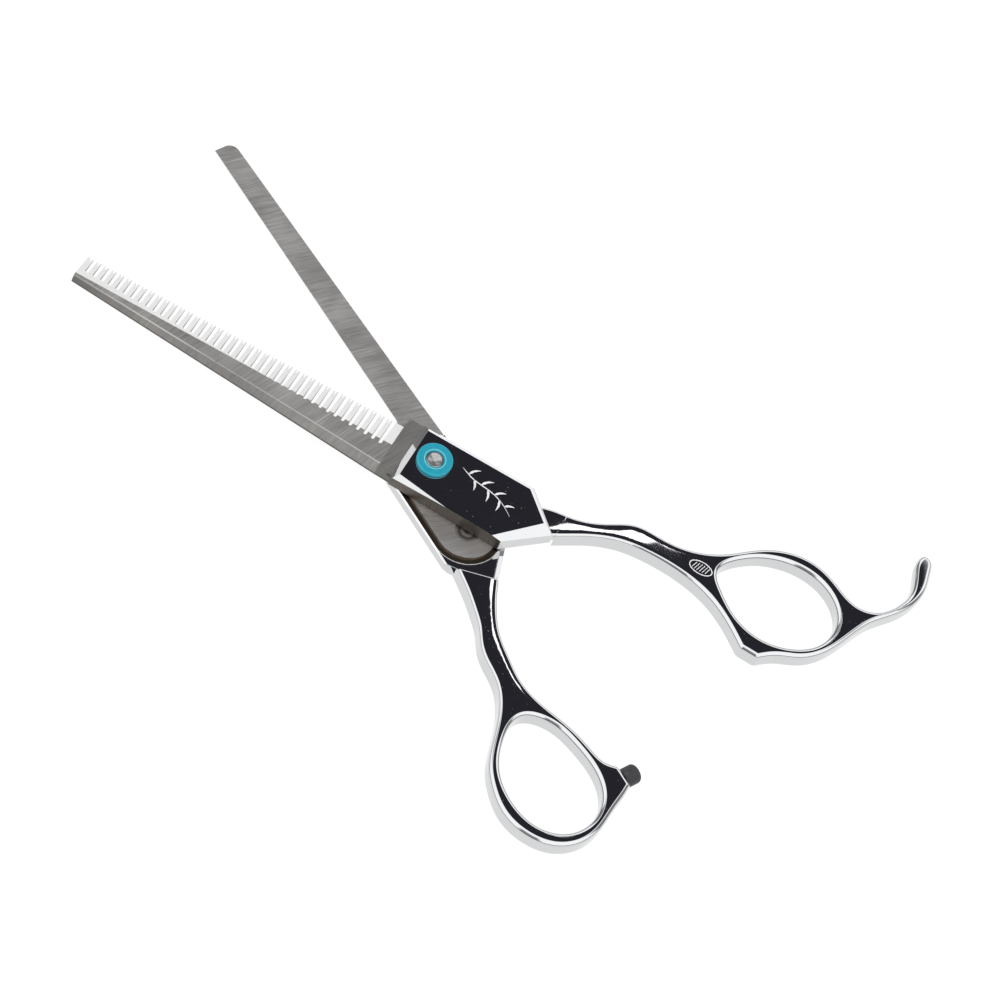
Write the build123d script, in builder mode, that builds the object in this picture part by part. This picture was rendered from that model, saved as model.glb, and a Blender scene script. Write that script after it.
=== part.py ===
"""Thinning shears: a comb blade and a plain blade on two offset handles, turning on one adjustable pivot.

Frame: millimetres. The origin is on the pivot axis, on the plane the shears lie on. +Z runs up the pivot to the
tension nut, and +X runs from the blade tips to the handles, along the finger half. Each half is drawn in its own
frame with the blades shut, and the thumb half's frame is then turned open about the pivot.
"""
import os
from math import cos, radians, sin

from build123d import *

# ------------------------------------------------------------------ driving dimensions
opening_angle = 28.5  # how far the thumb half stands open, degrees

# pivot
head_height = 1.0
head_radius = 4.4
head_chamfer = 0.3
shank_radius = 2.5
thread_radius = 1.6
thread_chamfer = 0.15
dimple_radius = 1.25
dimple_depth = 0.7
bushing_wall = 0.7
nut_radius = 3.3
nut_height = 2.0
nut_rounding = 0.35
nut_proud = 0.7  # how far the tension nut stands above the block
nut_groove_radius = 2.15  # middle of the fine groove turned in the nut's face
nut_groove_width = 0.3
nut_groove_depth = 0.12
spring_height = 0.5
washer_radius = 4.4
washer_height = 0.5

# clearances
running_gap = 0.05  # between faces that slide on each other
shaft_clearance = 0.03  # radial, pin in bushing and nut on thread
seat_clearance = 0.02  # between a blade's tongue and its pocket, and round pressed-in pieces
washer_clearance = 0.1  # radial, round the thrust washer in the comb blade
spring_clearance = 0.15  # radial, the spring washer in its well and on the thread

# blocks: the thick middle of each half
block_thickness = 3.4
block_front = -5.0
block_upper = 6.3
block_rear = 24.8
finger_block_shoulder = 17.6  # where the long edges turn in to the rear point
thumb_block_shoulder = 16.7
finger_block_lower = -6.9
finger_block_rear_y = -0.2
thumb_block_lower = -7.5
thumb_block_rear_y = -1.4
front_corner_flare = 0.3
flare_length = 13.0
bevel = 0.9
front_bevel = 1.2
ride_relief = 0.5  # the block stands back from the ride by this much
sweep_clearance = 0.5  # radial room round the other half's block

# tongue: the round-ended plate each blade runs on into its block
tongue_thickness = 1.3
tongue_half_width = 5.7
tongue_end = 18.6
tongue_middle = -0.4
stamp_recess_radius = 2.3
stamp_recess_depth = 0.25
stamp_recess_x = 13.2

# comb blade
comb_tip = -72.0
comb_root = -8.0
comb_thickness = 1.9
comb_edge_thickness = 0.35
comb_spine_thickness = 0.5
tooth_count = 40
tooth_pitch = 1.55
tooth_gap = 0.70
first_tooth = -71.3
gap_floor_tip = -2.55
gap_floor_root = -1.75
notch_width = 0.46
notch_depth = 1.0
comb_tip_heights = (1.0, -3.9, -4.35, -4.8)  # tooth tips, foot of the bevel, ridge, spine
comb_root_heights = (4.45, -0.8, -5.15, -6.7)
comb_heel_upper = 5.7

# plain blade
plain_tip = -73.1
plain_root = -11.0
plain_thickness = 1.9
plain_edge_thickness = 0.22
plain_spine_thickness = 1.2
plain_spine_bevel = 0.5
plain_bevel_width = 1.7
plain_tip_edge = -1.0
plain_tip_spine = 2.9
plain_root_edge = -0.2
plain_root_spine = 5.6
plain_tip_radius = 1.9
plain_heel_upper = 5.9
plain_heel_lower = -7.2
plain_heel_curve = (-7.4, -2.6)  # a point on the hollow heel below the cutting edge

# handles
ring_height = 4.4
ring_rounding = 0.8  # on the rims of the holes

# bumper
bumper_radius = 1.8
bumper_height = 3.1
bumper_rounding = 0.8
bumper_x = 66.5
bumper_seat = -1.8
boss_half_width = 2.0
stud_radius = 0.8
stud_depth = 2.4
stud_grip = 1.8
stud_head_radius = 1.15
stud_head_height = 0.5

# ------------------------------------------------------------------ worked out from the values above
parting = head_height + running_gap + block_thickness  # the plane in which the two halves meet
finger_face = parting + running_gap / 2
thumb_face = parting - running_gap / 2
block_top = parting + block_thickness
block_bottom = parting - block_thickness
nut_top = block_top + nut_proud
nut_bottom = nut_top - nut_height
well_floor = nut_bottom - running_gap - spring_height
bushing_radius = shank_radius + shaft_clearance + bushing_wall
washer_sink = washer_height / 2  # the washer lies half in each block
closed_reach = block_rear + sweep_clearance
tongue_centre = tongue_end - tongue_half_width


def plan(half, height):
    """The drawing plane of one half at a height; the thumb half is turned open about the pivot."""
    turn = -opening_angle if half == "thumb" else 0
    return Plane(origin=(0, 0, height), x_dir=(cos(radians(turn)), sin(radians(turn)), 0), z_dir=(0, 0, 1))


def across(half, x, y, heading, height):
    """A plane that cuts one half square to a heading, with its own Y axis upright."""
    flat = plan(half, height)
    origin = flat.from_local_coords(Vector(x, y, 0))
    ahead = flat.from_local_coords(Vector(x + cos(radians(heading)), y + sin(radians(heading)), 0))
    forward = ahead - origin
    return Plane(origin=origin, x_dir=Vector(-forward.Y, forward.X, 0), z_dir=forward)


def handle_outline(lower_side, upper_side, hole):
    """Draws a handle from above: its lower side, its upper side carried round the ring, and the finger's hole."""
    with BuildLine() as outline:
        lower = Spline(*lower_side)
        upper = Spline(*upper_side)
        Line(lower @ 0, upper @ 0)
        Line(lower @ 1, upper @ 1)
    make_face(outline.edges())
    with BuildLine() as rim:
        Spline(*hole, periodic=True)
    make_face(rim.edges(), mode=Mode.SUBTRACT)


def block_outline(lower, shoulder, rear_y, flare=0.0):
    """The plan of a block, a long bar with a pointed rear; flare pushes the lower front corner out."""
    return [
        (block_front, block_upper),
        (shoulder, block_upper),
        (block_rear, rear_y),
        (shoulder, lower),
        (block_front + flare_length, lower),
        (block_front, lower - flare),
    ]


def hole_rims(handle):
    """The upper and lower edges of the hole in a handle's ring."""
    flat_faces = handle.faces().filter_by(Axis.Z)
    return ShapeList([wire.edges()[0] for face in flat_faces for wire in face.inner_wires()])


def top_rim(handle, height):
    """The straight edges round a block's flat top."""
    straight = handle.edges().filter_by(GeomType.LINE)
    return straight.filter_by(lambda edge: abs(edge.center().Z - height) < 0.001)


def tongue_outline(clearance=0.0):
    """Draws the round-ended plan of a tongue, which starts at the front of the block."""
    grown = tongue_half_width + clearance
    with Locations(((block_front - 1 + tongue_centre) / 2, tongue_middle)):
        Rectangle(tongue_centre - block_front + 1, 2 * grown)
    with Locations((tongue_centre, tongue_middle)):
        Circle(grown)


# ------------------------------------------------------------------ finger half
finger_lower_side = [
    (18.8, -3.1), (24.2, -0.3), (30.2, 3.8), (35.5, 6.3), (42.0, 7.3), (48.2, 7.1), (53.6, 5.9), (58.6, 3.5),
    (63.2, 0.3),
]
finger_upper_side = [
    (18.4, 3.2), (21.7, 4.6), (26.0, 5.5), (31.5, 8.0), (36.4, 10.9), (41.0, 11.3), (46.5, 12.2), (52.3, 15.4),
    (57.1, 19.8), (61.5, 22.4), (67.0, 23.3), (72.0, 22.0), (77.6, 20.2), (81.2, 21.5), (83.6, 25.0), (84.3, 28.6),
    (83.1, 32.9), (82.5, 35.9), (83.2, 37.4), (84.5, 37.2), (85.6, 35.0), (86.4, 31.0), (86.0, 27.0), (84.0, 22.8),
    (81.0, 18.6), (79.3, 14.7), (77.9, 11.0), (75.9, 7.4), (73.0, 4.7), (69.6, 2.8), (66.8, 0.3),
]
finger_hole = [
    (53.0, 11.2), (55.4, 16.0), (60.0, 19.3), (66.0, 20.7), (72.0, 19.2), (75.6, 15.0), (75.1, 9.5), (70.8, 5.6),
    (65.0, 4.2), (59.5, 5.6), (55.2, 8.6),
]

with BuildPart() as finger_handle:
    with BuildSketch(plan("finger", parting - ring_height / 2)):
        handle_outline(finger_lower_side, finger_upper_side, finger_hole)
    extrude(amount=ring_height)
    fillet(hole_rims(finger_handle), ring_rounding)
    with BuildSketch(plan("finger", parting - ring_height)):
        Circle(closed_reach)
    extrude(amount=ring_height + ride_relief, mode=Mode.SUBTRACT)
    with BuildSketch(plan("finger", parting + ride_relief)):
        Polygon(*block_outline(finger_block_lower, finger_block_shoulder, finger_block_rear_y,
                               front_corner_flare), align=None)
    with BuildSketch(plan("finger", block_top)):
        Polygon(*block_outline(finger_block_lower, finger_block_shoulder, finger_block_rear_y), align=None)
    loft(ruled=True)
    chamfer(top_rim(finger_handle, block_top).sort_by(Axis.X)[0], front_bevel)
    chamfer(top_rim(finger_handle, block_top).sort_by(Axis.Y)[-1], bevel)
    with BuildSketch(plan("finger", parting)):
        tongue_outline(seat_clearance)
    extrude(amount=running_gap / 2 + tongue_thickness, mode=Mode.SUBTRACT)
    with Locations((0, 0, parting)):
        Cylinder(shank_radius + seat_clearance, block_thickness, align=(Align.CENTER, Align.CENTER, Align.MIN),
                 mode=Mode.SUBTRACT)
    with Locations((0, 0, well_floor)):
        Cylinder(nut_radius + 2 * shaft_clearance, block_thickness, align=(Align.CENTER, Align.CENTER, Align.MIN),
                 mode=Mode.SUBTRACT)
finger_handle.part.label = "finger_handle"

# the comb blade's cutting plate tapers from root to tip, square to X
with BuildPart() as comb_blade:
    for x, heights in ((comb_tip, comb_tip_heights), (comb_root, comb_root_heights)):
        tips, foot, ridge, spine = heights
        with BuildSketch(Plane(origin=(x, 0, finger_face), x_dir=(0, 1, 0), z_dir=(1, 0, 0))):
            Polygon((tips, 0), (tips, comb_edge_thickness), (foot, comb_thickness), (ridge, comb_thickness),
                    (spine, comb_spine_thickness), (spine, 0), align=None)
    loft(ruled=True)
    tips, foot, ridge, spine = comb_root_heights
    with BuildSketch(Plane(origin=(comb_root, 0, finger_face), x_dir=(0, 1, 0), z_dir=(1, 0, 0))):
        Polygon((comb_heel_upper, 0), (comb_heel_upper, comb_thickness), (ridge, comb_thickness),
                (spine, comb_spine_thickness), (spine, 0), align=None)
    extrude(amount=block_front - comb_root)
    with BuildSketch(plan("finger", finger_face)):
        tongue_outline()
    extrude(amount=tongue_thickness - seat_clearance)
    with BuildSketch(plan("finger", finger_face)):
        for number in range(tooth_count):
            gap_x = first_tooth + (number + 0.5) * tooth_pitch
            share = (gap_x - comb_tip) / (comb_root - comb_tip)
            floor_y = gap_floor_tip + share * (gap_floor_root - gap_floor_tip)
            round_y = floor_y + tooth_gap / 2
            with Locations((gap_x, (round_y + comb_heel_upper) / 2)):
                Rectangle(tooth_gap, comb_heel_upper - round_y)
            with Locations((gap_x, round_y)):
                Circle(tooth_gap / 2)
            tooth_x = gap_x - tooth_pitch / 2
            tip_share = (tooth_x - comb_tip) / (comb_root - comb_tip)
            tip_y = comb_tip_heights[0] + tip_share * (comb_root_heights[0] - comb_tip_heights[0])
            Polygon((tooth_x - notch_width, tip_y + notch_depth), (tooth_x, tip_y - notch_depth),
                    (tooth_x + notch_width, tip_y + notch_depth), align=None)
    extrude(amount=comb_thickness, mode=Mode.SUBTRACT)
    with Locations((0, 0, finger_face)):
        Cylinder(washer_radius + washer_clearance, washer_sink + running_gap,
                 align=(Align.CENTER, Align.CENTER, Align.MIN), mode=Mode.SUBTRACT)
        Cylinder(shank_radius + seat_clearance, block_thickness, align=(Align.CENTER, Align.CENTER, Align.MIN),
                 mode=Mode.SUBTRACT)
comb_blade.part.label = "comb_blade"

# ------------------------------------------------------------------ thumb half
thumb_lower_side = [
    (17.4, -4.4), (20.9, -5.8), (24.4, -7.0), (27.8, -8.3), (30.7, -9.6), (33.4, -11.1), (36.4, -12.0),
    (39.2, -12.3), (41.6, -12.8), (44.0, -13.9), (46.3, -15.5), (50.6, -19.6), (54.3, -22.7), (57.2, -24.0),
    (62.7, -25.0), (68.1, -23.5), (72.0, -20.2), (73.7, -15.4), (73.0, -11.1), (70.9, -6.7), (69.6, -3.8),
    (bumper_x + boss_half_width, bumper_seat),
]
thumb_upper_side = [
    (21.4, 0.6), (24.1, -1.1), (27.0, -3.3), (29.9, -5.2), (32.6, -6.6), (35.2, -7.4), (38.5, -8.0), (42.2, -8.5),
    (45.8, -8.2), (49.5, -7.1), (52.9, -5.8), (56.4, -4.8), (60.0, -4.2), (62.8, -3.4),
    (bumper_x - boss_half_width, bumper_seat),
]
thumb_hole = [
    (48.7, -12.0), (52.0, -8.2), (57.5, -6.5), (63.0, -6.1), (68.0, -7.6), (71.0, -11.4), (71.0, -16.6),
    (67.5, -20.7), (62.0, -22.2), (56.3, -21.3), (51.6, -18.0),
]

# the shank rises beside the other half's closed block, along this step
shank_step = [(19.2, -7.0), (24.9, -1.1), (30.0, -1.1), (30.0, -12.0), (19.2, -12.0)]

with BuildPart() as thumb_handle:
    with BuildSketch(plan("thumb", parting - ring_height / 2)):
        handle_outline(thumb_lower_side, thumb_upper_side, thumb_hole)
    extrude(amount=ring_height)
    fillet(hole_rims(thumb_handle), ring_rounding)
    with BuildSketch(plan("thumb", parting - ride_relief)):
        Circle(closed_reach)
        Polygon(*shank_step, align=None, mode=Mode.SUBTRACT)
    extrude(amount=ring_height, mode=Mode.SUBTRACT)
    with BuildSketch(plan("thumb", block_bottom)):
        Polygon(*block_outline(thumb_block_lower, thumb_block_shoulder, thumb_block_rear_y), align=None)
    extrude(amount=block_thickness - ride_relief)
    with BuildSketch(plan("thumb", parting)):
        tongue_outline(seat_clearance)
    extrude(amount=-running_gap / 2 - tongue_thickness, mode=Mode.SUBTRACT)
    with Locations((0, 0, block_bottom)):
        Cylinder(bushing_radius + seat_clearance, block_thickness, align=(Align.CENTER, Align.CENTER, Align.MIN),
                 mode=Mode.SUBTRACT)
    with BuildSketch(across("thumb", bumper_x, bumper_seat, 90, parting)):
        Circle(stud_radius + seat_clearance)
    extrude(amount=-stud_depth, mode=Mode.SUBTRACT)
thumb_handle.part.label = "thumb_handle"

with BuildPart() as plain_blade:
    for x, edge, spine in (
        (plain_tip, plain_tip_edge, plain_tip_spine),
        (plain_root, plain_root_edge, plain_root_spine),
    ):
        with BuildSketch(across("thumb", x, 0, 0, thumb_face)):
            Polygon((edge, 0), (spine, 0), (spine, -plain_spine_thickness),
                    (spine - plain_spine_bevel, -plain_thickness), (edge + plain_bevel_width, -plain_thickness),
                    (edge, -plain_edge_thickness), align=None)
    loft(ruled=True)
    with BuildSketch(plan("thumb", thumb_face)):
        with BuildLine():
            heel = Polyline((block_front, plain_heel_upper), (plain_root, plain_root_spine),
                            (plain_root, plain_root_edge))
            curve = ThreePointArc(heel @ 1, plain_heel_curve, (block_front, plain_heel_lower))
            Line(curve @ 1, heel @ 0)
        make_face()
    extrude(amount=-plain_thickness)
    with BuildSketch(plan("thumb", thumb_face)):
        tongue_outline()
    extrude(amount=-tongue_thickness + seat_clearance)
    tip_edges = plain_blade.edges().filter_by(Axis.Z).sort_by(Axis.Y)[-2:]
    fillet(tip_edges.sort_by(Axis.X)[-1], plain_tip_radius)
    with Locations((0, 0, thumb_face)):
        Cylinder(washer_radius + seat_clearance, washer_sink, align=(Align.CENTER, Align.CENTER, Align.MAX),
                 mode=Mode.SUBTRACT)
        Cylinder(bushing_radius + seat_clearance, block_thickness, align=(Align.CENTER, Align.CENTER, Align.MAX),
                 mode=Mode.SUBTRACT)
    with BuildSketch(plan("thumb", thumb_face)):
        with Locations((stamp_recess_x, tongue_middle)):
            Circle(stamp_recess_radius)
    extrude(amount=-stamp_recess_depth, mode=Mode.SUBTRACT)
plain_blade.part.label = "plain_blade"

# ------------------------------------------------------------------ pivot
with BuildPart() as pivot_screw:
    with BuildSketch(Plane.XZ) as half_section:
        with BuildLine():
            Polyline((0, 0), (head_radius - head_chamfer, 0), (head_radius, head_chamfer),
                     (head_radius, head_height), (shank_radius, head_height), (shank_radius, well_floor),
                     (thread_radius, well_floor), (thread_radius, nut_top - thread_chamfer),
                     (thread_radius - thread_chamfer, nut_top), (dimple_radius, nut_top),
                     (0, nut_top - dimple_depth), close=True)
        make_face()
    revolve(axis=Axis.Z)
pivot_screw.part.label = "pivot_screw"

with BuildPart() as pivot_bushing:
    with BuildSketch(Plane.XY.offset(block_bottom)):
        Circle(bushing_radius)
        Circle(shank_radius + shaft_clearance, mode=Mode.SUBTRACT)
    extrude(amount=thumb_face - washer_sink - block_bottom)
pivot_bushing.part.label = "pivot_bushing"

with BuildPart() as thrust_washer:
    with BuildSketch(Plane.XY.offset(thumb_face - washer_sink)):
        Circle(washer_radius)
        Circle(shank_radius + shaft_clearance, mode=Mode.SUBTRACT)
    extrude(amount=washer_height)
thrust_washer.part.label = "thrust_washer"

with BuildPart() as spring_washer:
    with BuildSketch(Plane.XY.offset(well_floor)):
        Circle(nut_radius - spring_clearance)
        Circle(thread_radius + spring_clearance, mode=Mode.SUBTRACT)
    extrude(amount=spring_height)
spring_washer.part.label = "spring_washer"

with BuildPart() as tension_nut:
    with BuildSketch(Plane.XY.offset(nut_bottom)):
        Circle(nut_radius)
        Circle(thread_radius + shaft_clearance, mode=Mode.SUBTRACT)
    extrude(amount=nut_height)
    fillet(tension_nut.edges().group_by(Axis.Z)[-1].sort_by(SortBy.RADIUS)[-1], nut_rounding)
    with BuildSketch(Plane.XY.offset(nut_top)):
        Circle(nut_groove_radius + nut_groove_width / 2)
        Circle(nut_groove_radius - nut_groove_width / 2, mode=Mode.SUBTRACT)
    extrude(amount=-nut_groove_depth, mode=Mode.SUBTRACT)
tension_nut.part.label = "tension_nut"

# ------------------------------------------------------------------ bumper
with BuildPart() as bumper:
    seat = across("thumb", bumper_x, bumper_seat, 90, parting)
    with BuildSketch(seat):
        Circle(bumper_radius)
    extrude(amount=bumper_height)
    rims = bumper.edges().filter_by(GeomType.CIRCLE)
    fillet(rims.sort_by(lambda rim: (rim.center() - seat.origin).length)[-1], bumper_rounding)
    with BuildSketch(seat):
        Circle(stud_radius + seat_clearance)
    extrude(amount=stud_grip + seat_clearance, mode=Mode.SUBTRACT)
    with BuildSketch(across("thumb", bumper_x, bumper_seat + stud_grip - stud_head_height, 90, parting)):
        Circle(stud_head_radius + seat_clearance)
    extrude(amount=stud_head_height + seat_clearance, mode=Mode.SUBTRACT)
bumper.part.label = "bumper"

with BuildPart() as bumper_stud:
    with BuildSketch(across("thumb", bumper_x, bumper_seat - stud_depth, 90, parting)):
        Circle(stud_radius)
    extrude(amount=stud_depth + stud_grip - stud_head_height)
    with BuildSketch(across("thumb", bumper_x, bumper_seat + stud_grip - stud_head_height, 90, parting)):
        Circle(stud_head_radius)
    extrude(amount=stud_head_height)
bumper_stud.part.label = "bumper_stud"

# ------------------------------------------------------------------ files
os.makedirs("parts", exist_ok=True)
pieces = [
    finger_handle, comb_blade, thumb_handle, plain_blade, pivot_screw, pivot_bushing, thrust_washer,
    spring_washer, tension_nut, bumper, bumper_stud,
]
for piece in pieces:
    export_step(piece.part, f"parts/{piece.part.label}.step")
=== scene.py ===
"""Looks for a pair of thinning shears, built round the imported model.

Lengths are in millimetres until a piece is made. Each half is drawn with the shears shut, and its heights are
counted from the plane where the two halves meet. The thumb half is then turned open about the pivot.
"""
from math import cos, pi, radians, sin

import bmesh
import bpy
import numpy as np
from mathutils import Matrix, Vector
from mathutils.geometry import delaunay_2d_cdt


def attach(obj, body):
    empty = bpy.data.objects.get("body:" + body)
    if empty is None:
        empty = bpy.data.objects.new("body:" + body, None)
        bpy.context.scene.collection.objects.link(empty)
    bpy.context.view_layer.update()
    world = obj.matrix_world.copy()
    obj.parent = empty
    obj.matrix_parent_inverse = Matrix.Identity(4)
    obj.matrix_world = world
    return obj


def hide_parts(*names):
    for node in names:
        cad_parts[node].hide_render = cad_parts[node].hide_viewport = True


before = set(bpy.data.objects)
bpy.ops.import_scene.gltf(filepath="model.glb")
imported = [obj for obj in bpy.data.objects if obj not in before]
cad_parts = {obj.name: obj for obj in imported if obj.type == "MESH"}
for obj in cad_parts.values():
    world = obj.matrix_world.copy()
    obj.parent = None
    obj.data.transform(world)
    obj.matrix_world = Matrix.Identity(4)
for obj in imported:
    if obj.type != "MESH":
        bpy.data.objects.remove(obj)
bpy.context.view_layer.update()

MM = 0.001
PARTING = 4.45  # height of the meeting plane above the plane the shears lie on
OPENING = radians(28.5)
TONGUE_CENTRE = (12.9, -0.4)  # middle of the round end of a blade's tongue
STAMP_CENTRE = (13.2, -0.4)
BLOCK_HEIGHT = 3.4  # each block's thickness, from the meeting plane
RIDE_LEVEL = -0.5  # the thumb block's top
NUT_RADIUS = 3.3
NUT_TOP = 4.1
THUMB_STEP = ((18.6, -7.6), (25.5, -0.45))  # where the thumb's shank steps up behind the other block
STEP_ROUNDING = 0.4
COMB_FOOT = (-72.0, -3.9, 0.0484)  # foot of the teeth's bevel: where it starts, and its rise along the blade
COMB_RIDGE = (-72.0, -4.35, -0.0125)
HEEL_START = -8.0


# ------------------------------------------------------------------ shader writing
class Value:
    """A number or colour that changes over a surface, written with + - * / and so on."""

    def __init__(self, tree, socket):
        self.tree = tree
        self.socket = socket

    def node(self, kind, settings=None, **inputs):
        made = self.tree.nodes.new(kind)
        for key, setting in (settings or {}).items():
            if key == "stops":
                ramp = made.color_ramp
                while len(ramp.elements) < len(setting):
                    ramp.elements.new(0.5)
                for element, (place, colour) in zip(ramp.elements, setting):
                    element.position = place
                    element.color = colour
            else:
                setattr(made, key, setting)
        for key, given in inputs.items():
            number = key[1:]
            name = key.replace("_", " ")
            target = made.inputs[int(number)] if key[0] == "i" and number.isdigit() else made.inputs[name]
            if isinstance(given, Value):
                self.tree.links.new(given.socket, target)
            elif isinstance(given, bpy.types.NodeSocket):
                self.tree.links.new(given, target)
            else:
                target.default_value = given
        return made

    def maths(self, operation, first, second=0.0):
        made = self.node("ShaderNodeMath", {"operation": operation}, i0=first, i1=second)
        return Value(self.tree, made.outputs[0])

    def __add__(self, other):
        return self.maths("ADD", self, other)

    __radd__ = __add__

    def __mul__(self, other):
        return self.maths("MULTIPLY", self, other)

    __rmul__ = __mul__

    def __sub__(self, other):
        return self.maths("SUBTRACT", self, other)

    def __rsub__(self, other):
        return self.maths("SUBTRACT", other, self)

    def __pow__(self, other):
        return self.maths("POWER", self, other)

    def clamped(self):
        return self.maths("MINIMUM", self.maths("MAXIMUM", self, 0.0), 1.0)

    def size(self):
        return self.maths("ABSOLUTE", self)

    def sine(self):
        return self.maths("SINE", self)

    def ramp(self, low, high):
        """0 below low, 1 above high, smooth between."""
        made = self.node("ShaderNodeMapRange", {"interpolation_type": "SMOOTHSTEP"},
                         Value=self, From_Min=low, From_Max=high)
        return Value(self.tree, made.outputs[0])

    def mix(self, first, second):
        """This value, from 0 to 1, takes one colour to another."""
        made = self.node("ShaderNodeMix", {"data_type": "RGBA"}, i0=self, i6=first, i7=second)
        return Value(self.tree, made.outputs[2])

    def mixed_with(self, colour, amount):
        """This colour, taken towards another by an amount from 0 to 1."""
        made = self.node("ShaderNodeMix", {"data_type": "RGBA"}, i0=amount, i6=self, i7=colour)
        return Value(self.tree, made.outputs[2])


class Finish(Value):
    """One material, begun from a Principled shader and the piece's own coordinates in millimetres."""

    def __init__(self, name, **constants):
        self.material = bpy.data.materials.new(name)
        self.material.use_nodes = True
        self.tree = self.material.node_tree
        self.shader = self.tree.nodes["Principled BSDF"]
        for key, value in constants.items():
            self.shader.inputs[key.replace("_", " ")].default_value = value
        self.socket = self.node("ShaderNodeTexCoord", {}).outputs["Object"]

    def place(self, turn=0.0, stretch=(1.0, 1.0, 1.0)):
        """Coordinates in millimetres, turned about Z and then scaled along each axis."""
        made = self.node("ShaderNodeMapping", {"vector_type": "POINT"}, Vector=self.socket,
                         Rotation=(0, 0, turn), Scale=(1 / MM, 1 / MM, 1 / MM))
        grown = self.node("ShaderNodeVectorMath", {"operation": "MULTIPLY"}, i0=made.outputs[0], i1=stretch)
        return grown.outputs[0]

    def noise(self, place, scale=1.0, detail=2.0, roughness=0.5):
        made = self.node("ShaderNodeTexNoise", {}, Vector=place, Scale=scale, Detail=detail,
                         Roughness=roughness)
        return Value(self.tree, made.outputs[0])

    def reach_from(self, place, centre=(0.0, 0.0)):
        """How far a place is from an upright axis."""
        flat = self.node("ShaderNodeVectorMath", {"operation": "MULTIPLY"}, i0=place, i1=(1, 1, 0))
        made = self.node("ShaderNodeVectorMath", {"operation": "DISTANCE"}, i0=flat.outputs[0],
                         i1=(*centre, 0))
        return Value(self.tree, made.outputs[1])

    def height_of(self, place, axis=2):
        made = self.node("ShaderNodeSeparateXYZ", {}, i0=place)
        return Value(self.tree, made.outputs[axis])

    def feed(self, socket, value):
        self.tree.links.new(value.socket, self.shader.inputs[socket])

    def bump(self, height, distance, strength=1.0):
        made = self.node("ShaderNodeBump", {}, Height=height, Distance=distance * MM, Strength=strength)
        self.tree.links.new(made.outputs[0], self.shader.inputs["Normal"])


STEEL_COLOUR = (0.63, 0.635, 0.64, 1)


def polished_steel(name, seat=False):
    """Mirror polished steel with a faint haze, wiping marks and tiny pits.

    A seat has painted shade over the half-moon round the tongue of the blade, with a fine painted highlight
    line along its rim.
    """
    finish = Finish(name, Metallic=1.0)
    place = finish.place()
    haze = finish.noise(place, 0.35, 3.0)
    pits = finish.noise(place, 3.1, 1.0).ramp(0.735, 0.79)
    wipe = finish.noise(finish.place(0.4, (0.15, 2.2, 1.0)), 1.0, 4.0)
    rough = 0.012 + 0.02 * haze + 0.015 * wipe.ramp(0.5, 0.8) + 0.25 * pits
    colour = (haze * 0.5 + pits * 0.3).mix(STEEL_COLOUR, tuple(0.9 * c for c in STEEL_COLOUR[:3]) + (1,))
    if seat:
        shut = finish.place(OPENING)
        beyond = finish.maths("MAXIMUM", finish.height_of(shut, 0) - TONGUE_CENTRE[0], 0.0)
        sideways = finish.height_of(shut, 1) - TONGUE_CENTRE[1]
        reach = (beyond * beyond + sideways * sideways) ** 0.5
        # painted shade: the half-moon round the blade's tongue is darkened
        painted_seat_shade = reach.ramp(6.75, 6.65) * finish.height_of(shut, 2).ramp(3.6, 3.8)
        # painted highlight: a fine bright line along the half-moon's rim
        line = (reach - 6.8).size().ramp(0.11, 0.05)
        colour = colour.mixed_with((0.10, 0.08, 0.06, 1), painted_seat_shade).mixed_with((0.9, 0.9, 0.88, 1), line)
        rough = rough + 0.25 * painted_seat_shade + 0.4 * line
    finish.feed("Roughness", rough)
    finish.feed("Base Color", colour)
    finish.bump(0.004 * wipe - 0.03 * pits, 0.12, 0.35)
    return finish.material


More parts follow.
